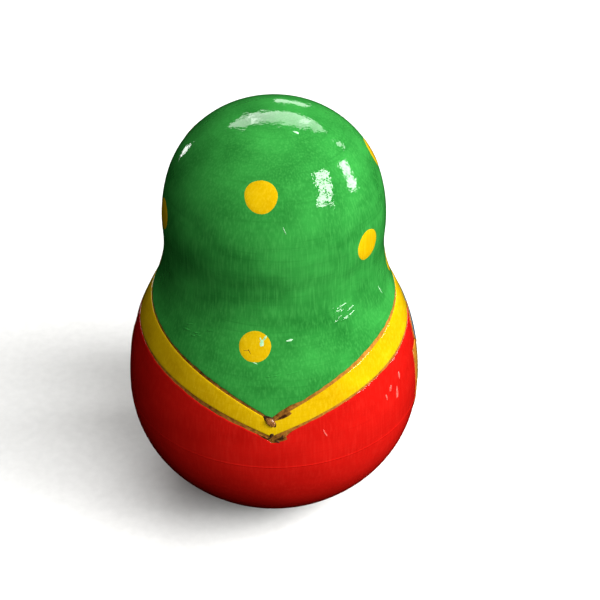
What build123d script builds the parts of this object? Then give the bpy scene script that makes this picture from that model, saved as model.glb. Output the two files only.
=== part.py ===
"""A wooden roly-poly doll that chimes when it rocks.

Two turned limewood halves are glued at a seam low on the belly. An iron ballast in the
round base brings the doll upright again. Above it a plywood board carries four tuned
steel rods, and a steel ball hangs between them from a strap arch and strikes them.

Millimetres, +Z up, the origin at the middle of the small flat that the doll stands on,
and the doll's face towards -Y.
"""

import os
from math import asin, cos, degrees, radians, sin, sqrt

from build123d import *

# --- Outside of the turned doll: tangent arcs from the foot up to the crown -----------
# Each arc has a radius, negative where the outline is hollow, and the heading in degrees
# that the outline has where the arc ends: 0 is straight outwards, 90 straight up.
FOOT_FLAT_R = 5.0
BASE_R = 44.0
OUTSIDE_ARCS = [
    (BASE_R, 52.5),  # round base that the doll rocks on
    (34.4, 87.0),  # belly
    (64.5, 117.2),  # chest
    (-38.0, 85.0),  # neck
    (42.5, 106.0),  # temples
    (28.4, 157.5),  # dome of the head
]
BASE_CENTRE_Z = sqrt(BASE_R**2 - FOOT_FLAT_R**2)

# --- Wooden halves -------------------------------------------------------------------
SHELL_WALL = 7.5
SEAM_Z = 36.7
SPIGOT_HEIGHT = 5.0
SPIGOT_R = 37.0
GLUE_GAP = 0.05
BOWL_BORE_R = 34.5
POCKET_R = 35.0  # round seat of the ballast, concentric with the base
LEDGE_Z = 24.5  # the board rests here

# --- Ballast -------------------------------------------------------------------------
BALLAST_TOP_Z = 22.0
BALLAST_HOLE_R = 2.3
BALLAST_COUNTERBORE_R = 4.8
BALLAST_COUNTERBORE_DEPTH = 4.0
BALLAST_WASHER_R = 4.3
BALLAST_WASHER_HEIGHT = 0.8
BALLAST_SCREW_R = 2.0
BALLAST_SCREW_HEAD_R = 3.6
BALLAST_SCREW_TIP_Z = 3.2

# --- Chime board and rod block -------------------------------------------------------
BOARD_R = 34.3
BOARD_HEIGHT = 4.0
BOARD_TOP_Z = LEDGE_Z + BOARD_HEIGHT
BOARD_SCREW_CIRCLE_R = 32.0
BOARD_SCREW_ANGLES = (30, 150, 270)
BOARD_SCREW_LENGTH = 9.0
BLOCK_R = 17.0
BLOCK_HEIGHT = 6.0
BLOCK_TOP_Z = BOARD_TOP_Z + BLOCK_HEIGHT
BLOCK_SCREW_CIRCLE_R = 12.0
BLOCK_SCREW_ANGLES = (45, 225)
BLOCK_SCREW_LENGTH = BLOCK_HEIGHT + BOARD_HEIGHT - 0.4
SMALL_SCREW_R = 1.1
SMALL_SCREW_HEAD_R = 2.2
SMALL_SCREW_HEAD_HEIGHT = 1.3

ROD_R = 1.0
ROD_CIRCLE_R = 12.0
ROD_SEAT_DEPTH = 5.0
ROD_FREE_LENGTHS = [42.0, 36.0, 30.0, 24.0]  # longest rod, on +X, sounds the lowest note

# --- Strap arch that the striker hangs from --------------------------------------------
STRAP_WIDTH = 8.0
STRAP_THICKNESS = 1.0
STRAP_BEND_R = 2.5
ARCH_HALF_SPAN = 19.5  # to the middle of each leg
ARCH_TOP_Z = 90.0  # underside of the strap
FOOT_LENGTH = 10.0
FOOT_SCREW_X = 25.0
FOOT_SCREW_LENGTH = STRAP_THICKNESS + BOARD_HEIGHT - 0.3

# --- Striker and the eyes that it hangs by ----------------------------------------------
WIRE_R = 0.6
EYE_R = 2.4  # to the middle of the wire, on every eye and on the link's ends
HANGING_GAP = 0.3  # play between two wires that hang in each other
EYE_SHANK_R = 1.1
EYE_COLLAR_R = 2.2
EYE_COLLAR_HEIGHT = 0.8
EYE_NUT_ACROSS_FLATS = 4.4
EYE_NUT_HEIGHT = 1.6
EYE_SINK = 0.3  # how far the ring runs into its collar
EYE_CENTRE_Z = ARCH_TOP_Z - EYE_COLLAR_HEIGHT + EYE_SINK - EYE_R - WIRE_R
LINK_STRAIGHT = 5.0
LINK_TOP_Z = EYE_CENTRE_Z - EYE_R + 2 * WIRE_R + HANGING_GAP
LINK_BOTTOM_Z = LINK_TOP_Z - 2 * EYE_R - LINK_STRAIGHT
STRIKER_EYE_Z = LINK_BOTTOM_Z + 2 * WIRE_R + HANGING_GAP - EYE_R
STRIKER_BALL_R = 5.0
STRIKER_BALL_Z = 46.0
FERRULE_R = 1.6
FERRULE_HEIGHT = 1.6
WIRE_END_Z = STRIKER_BALL_Z - STRIKER_BALL_R - FERRULE_HEIGHT - 0.6

BEYOND = 60.0  # half-size of a cutting block, well outside the doll


def outside_arcs():
    """The outline as (centre, radius, first heading, last heading), radius negative where hollow."""
    arcs = []
    r, z = FOOT_FLAT_R, 0.0
    heading = degrees(asin(FOOT_FLAT_R / BASE_R))
    for radius, last in OUTSIDE_ARCS:
        across, up = sin(radians(heading)), cos(radians(heading))
        centre = (r - radius * across, z + radius * up)
        arcs.append((centre, radius, heading, last))
        r = centre[0] + radius * sin(radians(last))
        z = centre[1] - radius * cos(radians(last))
        heading = last
    crown_radius = r / sin(radians(heading))  # the crown's centre is on the axis
    centre = (0.0, z + crown_radius * cos(radians(heading)))
    arcs.append((centre, crown_radius, heading, 180.0))
    return arcs


def turned_solid(arcs, inset=0.0):
    """The solid of revolution inside the outline, with its surface moved in by inset."""

    def point(centre, radius, heading):
        moved = radius - inset
        return (
            centre[0] + moved * sin(radians(heading)),
            0.0,
            centre[1] - moved * cos(radians(heading)),
        )

    edges = []
    for centre, radius, first, last in arcs:
        ends = [point(centre, radius, h) for h in (first, (first + last) / 2, last)]
        if last == 180.0:
            ends[2] = (0.0, 0.0, ends[2][2])
        edges.append(ThreePointArc(*ends))
    start, end = edges[0] @ 0, edges[-1] @ 1
    edges.append(Line(end, (0.0, 0.0, start.Z)))
    edges.append(Line((0.0, 0.0, start.Z), start))
    return revolve(make_face(edges), Axis.Z)


def cylinder(radius, low, high, x=0.0, y=0.0):
    """An upright cylinder between two heights."""
    return Pos(x, y, low) * Cylinder(
        radius, high - low, align=(Align.CENTER, Align.CENTER, Align.MIN)
    )


def slab(low, high):
    """Everything between two heights, for cutting."""
    return Pos(0, 0, (low + high) / 2) * Box(2 * BEYOND, 2 * BEYOND, high - low)


def around(radius, angles):
    """(x, y) places on a circle about the axis."""
    return [(radius * cos(radians(a)), radius * sin(radians(a))) for a in angles]


def round_eye(centre_z):
    """A closed wire eye in the XZ plane."""
    return Pos(0, 0, centre_z) * Rot(90, 0, 0) * Torus(EYE_R, WIRE_R)


def flat_head_screw(top_z, length, x, y):
    """A small countersunk wood screw, its slotted head flush at top_z."""
    cone = Pos(x, y, top_z - SMALL_SCREW_HEAD_HEIGHT / 2) * Cone(
        SMALL_SCREW_R, SMALL_SCREW_HEAD_R, SMALL_SCREW_HEAD_HEIGHT
    )
    slot = Pos(x, y, top_z) * Box(2 * SMALL_SCREW_HEAD_R, 0.6, 1.2)
    tip_height = 1.5
    tip = Pos(x, y, top_z - length + tip_height / 2) * Cone(0.2, SMALL_SCREW_R, tip_height)
    shank_top = top_z - SMALL_SCREW_HEAD_HEIGHT
    return cone + cylinder(SMALL_SCREW_R, top_z - length + tip_height, shank_top, x, y) + tip - slot


def screw_recess(top_z, length, x, y):
    """The hole that a small countersunk screw fills."""
    cone = Pos(x, y, top_z - SMALL_SCREW_HEAD_HEIGHT / 2) * Cone(
        SMALL_SCREW_R, SMALL_SCREW_HEAD_R, SMALL_SCREW_HEAD_HEIGHT
    )
    return cone + cylinder(SMALL_SCREW_R, top_z - length, top_z - SMALL_SCREW_HEAD_HEIGHT, x, y)


def flat_head_screws(places, top_z, length):
    """Identical screws, kept as separate solids of one node."""
    return Compound(children=[flat_head_screw(top_z, length, x, y) for x, y in places])


def upper_shell(doll, cavity):
    """Head and body, turned hollow from below, with a socket for the bowl's spigot."""
    above_spigot = SEAM_Z + SPIGOT_HEIGHT + 0.2
    hollow = cavity & slab(above_spigot, above_spigot + 2 * BEYOND)
    socket = cylinder(SPIGOT_R, SEAM_Z, above_spigot)
    return (doll & slab(SEAM_Z, SEAM_Z + 2 * BEYOND)) - hollow - socket


def lower_bowl(doll, board_screws):
    """Round base with a spigot, a ledge for the board and a round pocket for the ballast."""
    bowl = doll & slab(-1.0, SEAM_Z)
    bowl += cylinder(SPIGOT_R - GLUE_GAP, SEAM_Z - 1.0, SEAM_Z + SPIGOT_HEIGHT)
    bowl -= cylinder(BOWL_BORE_R, LEDGE_Z, SEAM_Z + 2 * SPIGOT_HEIGHT)
    bowl -= (Pos(0, 0, BASE_CENTRE_Z) * Sphere(POCKET_R)) & slab(-1.0, LEDGE_Z + 1.0)
    bowl -= cylinder(BALLAST_SCREW_R, BALLAST_SCREW_TIP_Z, BASE_R - POCKET_R + 1.0)
    for x, y in board_screws:
        bowl -= screw_recess(BOARD_TOP_Z, BOARD_SCREW_LENGTH, x, y)
    return bowl


def ballast_weight():
    """Iron casting that lies in the base, with a counterbored hole for its screw."""
    weight = Pos(0, 0, BASE_CENTRE_Z) * Sphere(POCKET_R - GLUE_GAP)
    weight &= slab(0.0, BALLAST_TOP_Z)
    weight -= cylinder(BALLAST_HOLE_R, 0.0, BALLAST_TOP_Z)
    shelf = BALLAST_TOP_Z - BALLAST_COUNTERBORE_DEPTH
    weight -= cylinder(BALLAST_COUNTERBORE_R, shelf, BALLAST_TOP_Z + 1.0)
    return weight


def ballast_washer():
    """Washer under the ballast screw's head."""
    low = BALLAST_TOP_Z - BALLAST_COUNTERBORE_DEPTH
    disc = cylinder(BALLAST_WASHER_R, low, low + BALLAST_WASHER_HEIGHT)
    return disc - cylinder(BALLAST_HOLE_R, low - 1.0, low + 2.0)


def ballast_screw():
    """Round-head wood screw that holds the ballast down."""
    head_low = BALLAST_TOP_Z - BALLAST_COUNTERBORE_DEPTH + BALLAST_WASHER_HEIGHT
    head_high = head_low + 2.4
    head = fillet(
        cylinder(BALLAST_SCREW_HEAD_R, head_low, head_high).edges().group_by(Axis.Z)[-1], 1.0
    )
    head -= Pos(0, 0, head_high) * Box(2 * BALLAST_SCREW_HEAD_R, 1.0, 2.0)
    tip_high = BALLAST_SCREW_TIP_Z + 2.0
    tip = Pos(0, 0, (BALLAST_SCREW_TIP_Z + tip_high) / 2) * Cone(0.4, BALLAST_SCREW_R, 2.0)
    return head + cylinder(BALLAST_SCREW_R, tip_high, head_low) + tip


def chime_board(board_screws, block_screws, foot_screws):
    """Plywood sounding board, drilled for its own, the block's and the arch's screws."""
    board = cylinder(BOARD_R, LEDGE_Z, BOARD_TOP_Z)
    for x, y in board_screws:
        board -= screw_recess(BOARD_TOP_Z, BOARD_SCREW_LENGTH, x, y)
    for x, y in block_screws:
        board -= screw_recess(BLOCK_TOP_Z, BLOCK_SCREW_LENGTH, x, y)
    for x, y in foot_screws:
        board -= screw_recess(BOARD_TOP_Z + STRAP_THICKNESS, FOOT_SCREW_LENGTH, x, y)
    return board


def rod_block(rods, block_screws):
    """Brass disc that the rods are pressed into."""
    block = cylinder(BLOCK_R, BOARD_TOP_Z, BLOCK_TOP_Z)
    block = fillet(block.edges().group_by(Axis.Z)[-1], 1.0)
    for x, y in rods:
        block -= cylinder(ROD_R, BLOCK_TOP_Z - ROD_SEAT_DEPTH, BLOCK_TOP_Z + 1.0, x, y)
    for x, y in block_screws:
        block -= screw_recess(BLOCK_TOP_Z, BLOCK_SCREW_LENGTH, x, y)
    return block


def chime_rod(x, y, free_length):
    """Steel rod with a rounded tip, its foot in the block."""
    rod = cylinder(ROD_R, BLOCK_TOP_Z - ROD_SEAT_DEPTH, BLOCK_TOP_Z + free_length, x, y)
    return fillet(rod.edges().group_by(Axis.Z)[-1], 0.5)


def hanger_arch(foot_screws):
    """Steel strap bent into an arch, with two feet and a hole for the eye."""
    mid_top = ARCH_TOP_Z + STRAP_THICKNESS / 2
    mid_foot = BOARD_TOP_Z + STRAP_THICKNESS / 2
    foot_end = ARCH_HALF_SPAN + FOOT_LENGTH
    path = FilletPolyline(
        (-foot_end, 0, mid_foot),
        (-ARCH_HALF_SPAN, 0, mid_foot),
        (-ARCH_HALF_SPAN, 0, mid_top),
        (ARCH_HALF_SPAN, 0, mid_top),
        (ARCH_HALF_SPAN, 0, mid_foot),
        (foot_end, 0, mid_foot),
        radius=STRAP_BEND_R,
    )
    section = Plane((-foot_end, 0, mid_foot), x_dir=(0, 1, 0), z_dir=(1, 0, 0))
    strap = sweep(section * Rectangle(STRAP_WIDTH, STRAP_THICKNESS), path=path)
    strap -= cylinder(EYE_SHANK_R, ARCH_TOP_Z - 1.0, ARCH_TOP_Z + 2.0)
    for x, y in foot_screws:
        strap -= screw_recess(BOARD_TOP_Z + STRAP_THICKNESS, FOOT_SCREW_LENGTH, x, y)
    return strap


def hanger_eye():
    """Eye bolt that hangs under the arch: ring, collar and shank in one piece."""
    collar = cylinder(EYE_COLLAR_R, ARCH_TOP_Z - EYE_COLLAR_HEIGHT, ARCH_TOP_Z)
    shank_top = ARCH_TOP_Z + STRAP_THICKNESS + EYE_NUT_HEIGHT + 1.0
    shank = cylinder(EYE_SHANK_R, ARCH_TOP_Z - EYE_COLLAR_HEIGHT, shank_top)
    return collar + shank + round_eye(EYE_CENTRE_Z)


def eye_nut():
    """Hex nut on top of the arch."""
    low = ARCH_TOP_Z + STRAP_THICKNESS
    hexagon = RegularPolygon(EYE_NUT_ACROSS_FLATS / 2, 6, major_radius=False)
    nut = extrude(Plane((0, 0, low)) * hexagon, EYE_NUT_HEIGHT)
    return nut - cylinder(EYE_SHANK_R, low - 1.0, low + 2 * EYE_NUT_HEIGHT)


def hanger_link():
    """Oblong wire link in the YZ plane, between the arch's eye and the striker's."""
    top_centre = LINK_TOP_Z - EYE_R
    bottom_centre = LINK_BOTTOM_Z + EYE_R
    torus = Rot(0, 90, 0) * Torus(EYE_R, WIRE_R)
    top = (Pos(0, 0, top_centre) * torus) & slab(top_centre, top_centre + 10.0)
    bottom = (Pos(0, 0, bottom_centre) * torus) & slab(bottom_centre - 10.0, bottom_centre)
    sides = [cylinder(WIRE_R, bottom_centre, top_centre, 0, y) for y in (-EYE_R, EYE_R)]
    return top + bottom + sides[0] + sides[1]


def striker_wire():
    """Straight wire with an eye at its top and the ball near its end."""
    return round_eye(STRIKER_EYE_Z) + cylinder(WIRE_R, WIRE_END_Z, STRIKER_EYE_Z - EYE_R)


def striker_ball():
    """Drilled steel ball that strikes the rods."""
    ball = Pos(0, 0, STRIKER_BALL_Z) * Sphere(STRIKER_BALL_R)
    bore = cylinder(WIRE_R, STRIKER_BALL_Z - 10.0, STRIKER_BALL_Z + 10.0)
    return ball - bore


def striker_ferrules():
    """Two crimped sleeves that hold the ball on its wire."""
    reach = sqrt(STRIKER_BALL_R**2 - FERRULE_R**2)  # where a sleeve's rim meets the ball
    lower_top = STRIKER_BALL_Z - reach
    upper_low = STRIKER_BALL_Z + reach
    ball = Pos(0, 0, STRIKER_BALL_Z) * Sphere(STRIKER_BALL_R)
    sleeves = []
    for low in (lower_top - FERRULE_HEIGHT, upper_low):
        sleeve = cylinder(FERRULE_R, low, low + FERRULE_HEIGHT)
        sleeves.append(sleeve - cylinder(WIRE_R, low - 1.0, low + 3.0) - ball)
    return Compound(children=sleeves)


def build():
    """Every node's solid, by name."""
    arcs = outside_arcs()
    doll = turned_solid(arcs)
    cavity = turned_solid(arcs, inset=SHELL_WALL)
    board_screws = around(BOARD_SCREW_CIRCLE_R, BOARD_SCREW_ANGLES)
    block_screws = around(BLOCK_SCREW_CIRCLE_R, BLOCK_SCREW_ANGLES)
    foot_screws = [(-FOOT_SCREW_X, 0.0), (FOOT_SCREW_X, 0.0)]
    rods = around(ROD_CIRCLE_R, (0, 90, 180, 270))

    nodes = {
        "upper_shell": upper_shell(doll, cavity),
        "lower_bowl": lower_bowl(doll, board_screws),
        "ballast_weight": ballast_weight(),
        "ballast_washer": ballast_washer(),
        "ballast_screw": ballast_screw(),
        "chime_board": chime_board(board_screws, block_screws, foot_screws),
        "board_screws": flat_head_screws(board_screws, BOARD_TOP_Z, BOARD_SCREW_LENGTH),
        "rod_block": rod_block(rods, block_screws),
        "block_screws": flat_head_screws(block_screws, BLOCK_TOP_Z, BLOCK_SCREW_LENGTH),
        "hanger_arch": hanger_arch(foot_screws),
        "arch_screws": flat_head_screws(
            foot_screws, BOARD_TOP_Z + STRAP_THICKNESS, FOOT_SCREW_LENGTH
        ),
        "hanger_eye": hanger_eye(),
        "eye_nut": eye_nut(),
        "hanger_link": hanger_link(),
        "striker_wire": striker_wire(),
        "striker_ball": striker_ball(),
        "striker_ferrules": striker_ferrules(),
    }
    for number, ((x, y), free_length) in enumerate(zip(rods, ROD_FREE_LENGTHS), start=1):
        nodes[f"chime_rod_{number}"] = chime_rod(x, y, free_length)
    return nodes


os.makedirs("parts", exist_ok=True)
for name, shape in build().items():
    export_step(shape, f"parts/{name}.step")
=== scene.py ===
import bmesh
import bpy
import numpy as np
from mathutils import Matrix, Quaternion, Vector


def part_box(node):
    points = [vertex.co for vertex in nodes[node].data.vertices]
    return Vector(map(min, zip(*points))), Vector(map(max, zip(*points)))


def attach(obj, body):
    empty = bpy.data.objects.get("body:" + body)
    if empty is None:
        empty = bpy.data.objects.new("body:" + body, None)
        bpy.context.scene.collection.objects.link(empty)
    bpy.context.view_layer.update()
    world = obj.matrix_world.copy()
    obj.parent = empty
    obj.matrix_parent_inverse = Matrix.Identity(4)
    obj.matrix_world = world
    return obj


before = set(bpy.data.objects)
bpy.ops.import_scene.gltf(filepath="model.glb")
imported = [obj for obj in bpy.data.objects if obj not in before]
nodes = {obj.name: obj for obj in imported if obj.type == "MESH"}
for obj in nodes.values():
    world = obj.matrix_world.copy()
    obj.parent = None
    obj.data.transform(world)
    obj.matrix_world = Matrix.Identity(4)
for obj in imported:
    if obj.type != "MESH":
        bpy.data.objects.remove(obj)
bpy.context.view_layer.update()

# The doll's body is limewood, turned in two hollow halves and glued at the seam.
# The outline is a run of tangent arcs from the little foot flat up to the crown, and every
# coat of paint further down is laid on the same outline.

MM = 0.001
FOOT_FLAT_R = 5.0
BASE_R = 44.0
OUTSIDE_ARCS = [  # radius in mm, negative where hollow, and the heading where the arc ends
    (BASE_R, 52.5),
    (34.4, 87.0),
    (64.5, 117.2),
    (-38.0, 85.0),
    (42.5, 106.0),
    (28.4, 157.5),
]


def outline_arcs():
    """Centre, radius, first heading and first arc length of each arc, and the whole length.

    An arc of radius R that starts at the point p with heading h has its centre at
    p + R * (-sin h, cos h). The last arc's centre is on the axis, so R = r / sin h.
    """
    table = []
    point = np.array([FOOT_FLAT_R, 0.0])
    heading = np.arcsin(FOOT_FLAT_R / BASE_R)
    length = 0.0
    for radius, last in OUTSIDE_ARCS + [(None, 180.0)]:
        radius = radius or point[0] / np.sin(heading)
        centre = point + radius * np.array([-np.sin(heading), np.cos(heading)])
        table.append((*centre, radius, heading, length))
        end = np.radians(last)
        length += radius * (end - heading)
        point = centre + radius * np.array([np.sin(end), -np.cos(end)])
        heading = end
    return np.array(table), length


ARCS, OUTLINE_LENGTH = outline_arcs()


def on_outline(arc, lift=0.0):
    """Radius and height in mm at an arc length from the foot, lifted off the wood.

    On an arc of centre c and radius R the heading is h = h0 + (s - s0) / R, the point is
    c + R * (sin h, -cos h), and (sin h, -cos h) is also the way out of the wood.
    """
    arc = np.clip(arc, 0.0, OUTLINE_LENGTH)
    which = np.clip(np.searchsorted(ARCS[:, 4], arc, side="right") - 1, 0, len(ARCS) - 1)
    centre_r, centre_z, radius, first, start = np.moveaxis(ARCS[which], -1, 0)
    heading = first + (arc - start) / radius
    out = radius + lift
    return centre_r + out * np.sin(heading), centre_z - out * np.cos(heading)


def arc_at(height):
    """Arc length in mm at a height, read back from the outline, which always rises."""
    arcs = np.linspace(0.0, OUTLINE_LENGTH, 4001)
    return np.interp(height, on_outline(arcs)[1], arcs)


def skin(turn, arc, lift):
    """Points in metres at a turn in degrees round from the middle of the back, and an arc length.

    The turn grows towards the right of someone who faces the doll's back. At radius r and
    height z the point is (-r sin turn, r cos turn, z).
    """
    radius, height = on_outline(arc, lift)
    turn = np.radians(turn)
    return MM * np.stack([-radius * np.sin(turn), radius * np.cos(turn), height], axis=-1)


if abs(on_outline(OUTLINE_LENGTH)[1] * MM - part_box("upper_shell")[1].z) > 0.0001:
    raise RuntimeError("the outline doesn't reach the top of upper_shell")


def linear(code):
    """An sRGB hex colour as linear RGBA: ((c + 0.055) / 1.055) ** 2.4 above the toe."""
    channels = np.array([int(code[i : i + 2], 16) for i in (1, 3, 5)]) / 255
    curve = np.where(channels <= 0.04045, channels / 12.92, ((channels + 0.055) / 1.055) ** 2.4)
    return (*curve.tolist(), 1.0)


def add(tree, kind, inputs=None, out=None, **settings):
    """Adds a node with its settings, links or sets each input in use, and gives an output.

    A hex colour is made linear on its way in. The output is the first in use, unless named.
    """
    made = tree.nodes.new("ShaderNode" + kind)
    for name, value in settings.items():
        setattr(made, name, value)
    used = {socket.name: socket for socket in made.inputs if socket.enabled}
    used |= dict(enumerate(made.inputs))
    for name, value in (inputs or {}).items():
        if isinstance(value, bpy.types.NodeSocket):
            tree.links.new(value, used[name])
        else:
            used[name].default_value = linear(value) if isinstance(value, str) else value
    return made.outputs[out] if out else next((o for o in made.outputs if o.enabled), None)


def new_material(name):
    """An empty node material, its tree, and the piece's own coordinates."""
    material = bpy.data.materials.new(name)
    material.use_nodes = True
    material.node_tree.nodes.clear()
    return material, material.node_tree, add(material.node_tree, "TexCoord", out="Object")


def per_mm(*size):
    """The scale that makes a pattern as large as these sizes in mm along X, Y and Z."""
    return [1.0 / (length * MM) for length in size]


def limewood():
    """Bare turned limewood: pale, with long fine fibres and faint rings from the gouge."""
    material, tree, place = new_material("turned_limewood")
    along = add(tree, "Mapping", {"Vector": place, "Scale": per_mm(0.5, 0.5, 14.0)})
    fibres = add(tree, "TexNoise", {"Vector": along, "Scale": 1.0, "Detail": 3.0})
    level = add(tree, "Mapping", {"Vector": place, "Scale": per_mm(60.0, 60.0, 0.6)})
    rings = add(tree, "TexNoise", {"Vector": level, "Scale": 1.0, "Detail": 3.0})
    clear = add(tree, "MapRange", {"Value": fibres, "From Min": 0.3, "From Max": 0.7})
    colours = {"Factor": clear, "A": "#C9A878", "B": "#E6CFA6"}
    colour = add(tree, "Mix", colours, data_type="RGBA")
    bump = add(tree, "Bump", {"Height": fibres, "Distance": 0.03 * MM})
    bump = add(tree, "Bump", {"Height": rings, "Distance": 0.04 * MM, "Normal": bump})
    sockets = {"Base Color": colour, "Roughness": 0.62, "IOR": 1.48, "Normal": bump}
    shader = add(tree, "BsdfPrincipled", sockets)
    add(tree, "OutputMaterial", {"Surface": shader})
    return material


def wear(material, *names):
    """Gives every material slot of these CAD nodes this material."""
    for name in names:
        for place in nodes[name].material_slots:
            place.material = material


wear(limewood(), "upper_shell", "lower_bowl")

# The ballast is a grey iron casting that sits in the bowl's round pocket, held down by one
# zinc-plated screw on a washer. Its skin is matt and pitted from the sand mould.


def sand_cast_iron():
    """Grey iron as cast: dark, with pits of about half a millimetre and a little brown rust."""
    material, tree, place = new_material("sand_cast_iron")
    small = add(tree, "Mapping", {"Vector": place, "Scale": per_mm(0.5, 0.5, 0.5)})
    pits = add(tree, "TexNoise", {"Vector": small, "Scale": 1.0, "Detail": 6.0})
    large = add(tree, "Mapping", {"Vector": place, "Scale": per_mm(6.0, 6.0, 6.0)})
    patches = add(tree, "TexNoise", {"Vector": large, "Scale": 1.0, "Detail": 3.0})
    clear = add(tree, "MapRange", {"Value": pits, "From Min": 0.35, "From Max": 0.65})
    iron = add(tree, "Mix", {"Factor": clear, "A": "#3A3A3C", "B": "#5A5A5C"}, data_type="RGBA")
    rusty = add(tree, "MapRange", {"Value": patches, "From Min": 0.55, "From Max": 0.75})
    colour = add(tree, "Mix", {"Factor": rusty, "A": iron, "B": "#6B4630"}, data_type="RGBA")
    bump = add(tree, "Bump", {"Height": pits, "Distance": 0.12 * MM})
    sockets = {"Base Color": colour, "Metallic": 0.75, "Roughness": 0.68, "Normal": bump}
    shader = add(tree, "BsdfPrincipled", sockets)
    add(tree, "OutputMaterial", {"Surface": shader})
    return material


def drawn_metal(name, low, high, roughness):
    """Drawn or turned metal: fine lines along Z, and a slow change of tone."""
    material, tree, place = new_material(name)
    along = add(tree, "Mapping", {"Vector": place, "Scale": per_mm(0.15, 0.15, 8.0)})
    lines = add(tree, "TexNoise", {"Vector": along, "Scale": 1.0, "Detail": 3.0})
    broad = add(tree, "Mapping", {"Vector": place, "Scale": per_mm(5.0, 5.0, 5.0)})
    tone = add(tree, "TexNoise", {"Vector": broad, "Scale": 1.0, "Detail": 3.0})
    clear = add(tree, "MapRange", {"Value": tone, "From Min": 0.35, "From Max": 0.65})
    colour = add(tree, "Mix", {"Factor": clear, "A": low, "B": high}, data_type="RGBA")
    bump = add(tree, "Bump", {"Height": lines, "Distance": 0.01 * MM})
    sockets = {"Base Color": colour, "Metallic": 1.0, "Roughness": roughness, "Normal": bump}
    shader = add(tree, "BsdfPrincipled", sockets)
    add(tree, "OutputMaterial", {"Surface": shader})
    return material


ZINC = drawn_metal("zinc_plated_steel", "#A9ADB0", "#C9CCCE", 0.34)
wear(sand_cast_iron(), "ballast_weight")
wear(ZINC, "ballast_washer", "ballast_screw")

# The sounding board is birch plywood, screwed to the bowl's ledge with brass screws. It
# carries the turned brass block that the four hard steel chime rods are pressed into, and
# zinc-plated screws hold the block.


def birch_plywood():
    """Three veneers seen at the rim as bands about 1.3 mm thick, and figured on the face."""
    material, tree, place = new_material("birch_plywood")
    along = add(tree, "Mapping", {"Vector": place, "Scale": per_mm(18.0, 0.9, 0.9)})
    figure = add(tree, "TexNoise", {"Vector": along, "Scale": 1.0, "Detail": 3.0})
    level = add(tree, "Mapping", {"Vector": place, "Scale": per_mm(90.0, 90.0, 1.3)})
    veneers = add(tree, "TexNoise", {"Vector": level, "Scale": 1.0, "Detail": 0.0})
    clear = add(tree, "MapRange", {"Value": figure, "From Min": 0.35, "From Max": 0.65})
    face = add(tree, "Mix", {"Factor": clear, "A": "#C9A374", "B": "#E0C298"}, data_type="RGBA")
    glued = add(tree, "MapRange", {"Value": veneers, "From Min": 0.52, "From Max": 0.6})
    colour = add(tree, "Mix", {"Factor": glued, "A": face, "B": "#B08A5C"}, data_type="RGBA")
    bump = add(tree, "Bump", {"Height": figure, "Distance": 0.04 * MM})
    sockets = {"Base Color": colour, "Roughness": 0.7, "IOR": 1.48, "Normal": bump}
    shader = add(tree, "BsdfPrincipled", sockets)
    add(tree, "OutputMaterial", {"Surface": shader})
    return material


BRASS = drawn_metal("turned_brass", "#B8923F", "#D9B45E", 0.28)
SPRING_STEEL = drawn_metal("drawn_spring_steel", "#85888E", "#A3A6AB", 0.22)
wear(birch_plywood(), "chime_board")
wear(BRASS, "board_screws", "rod_block")
wear(ZINC, "block_screws")
wear(SPRING_STEEL, "chime_rod_1", "chime_rod_2", "chime_rod_3", "chime_rod_4")

# The striker is a steel ball on a spring wire, between two crimped brass sleeves. It hangs by
# a zinc-plated wire link and eye bolt from an arch of bent steel strip, which brass screws
# hold to the board.

wear(ZINC, "hanger_arch", "hanger_eye", "hanger_link")
wear(BRASS, "arch_screws", "eye_nut", "striker_ferrules")
wear(SPRING_STEEL, "striker_wire", "striker_ball")

# The dress is red gouache on the primed wood, brushed round as the doll turned on the lathe,
# under clear lacquer. It is painted over the seam, which still shows as a hairline, and it
# is rubbed away where the doll stands.

COAT = 0.22  # top of the first coat above the wood, in mm
COAT_THICKNESS = 0.15
EDGE = np.array([0.0, 0.1, 0.22, 0.45])  # rows that round off a coat's edge, in mm from it
SEAM_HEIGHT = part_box("lower_bowl")[1].z / MM
SPIGOT_HEIGHT = 5.0  # of the bowl's spigot above the seam
SEAM = arc_at(SEAM_HEIGHT - SPIGOT_HEIGHT)
SEAM_BELL = 0.17  # half the width of the ridge of paint along the seam, in mm
BARE_FOOT_R = 7.0
TURNS = np.linspace(-180.0, 180.0, 361)


def wobble(turn, size, seed):
    """A hand's unsteadiness in mm that closes on itself: five sine waves of seeded phase."""
    dice = np.random.default_rng(seed)
    waves = np.array([7, 13, 29, 53, 97])
    phase = dice.uniform(0.0, 2 * np.pi, waves.size)
    share = dice.uniform(0.4, 1.0, waves.size)
    swing = np.sin(np.radians(np.multiply.outer(turn, waves)) + phase) * share
    return size * swing.sum(axis=-1) / share.sum()


def round_off(distance, low, top, width):
    """Lift near a coat's edge: a quarter round from low at the edge to top at its width."""
    near = np.clip(distance / width, 0.0, 1.0)
    return low + (top - low) * np.sqrt(1.0 - (1.0 - near) ** 2)


def band(turn, low, high, rows, top=COAT, sunk=0.04, cut=(True, True)):
    """A coat between two arc lengths, low and high, given at each turn.

    Rows are even, but a cut edge has rows at fixed distances from it, which round it off.
    """
    span = high - low
    share = np.linspace(0.0, 1.0, rows)[:, None]
    first, last = [EDGE[-1] if edge else 0.0 for edge in cut]
    distance = first + share * (span - first - last)
    if cut[0]:
        distance = np.vstack([EDGE[:-1, None] + 0 * span, distance])
    if cut[1]:
        distance = np.vstack([distance, span - EDGE[-2::-1, None]])
    lift = top + 0 * distance
    if cut[0]:
        lift = np.minimum(lift, round_off(distance, sunk, top, EDGE[-1]))
    if cut[1]:
        lift = np.minimum(lift, round_off(span - distance, sunk, top, EDGE[-1]))
    return turn + 0 * distance, low + distance, lift


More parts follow.
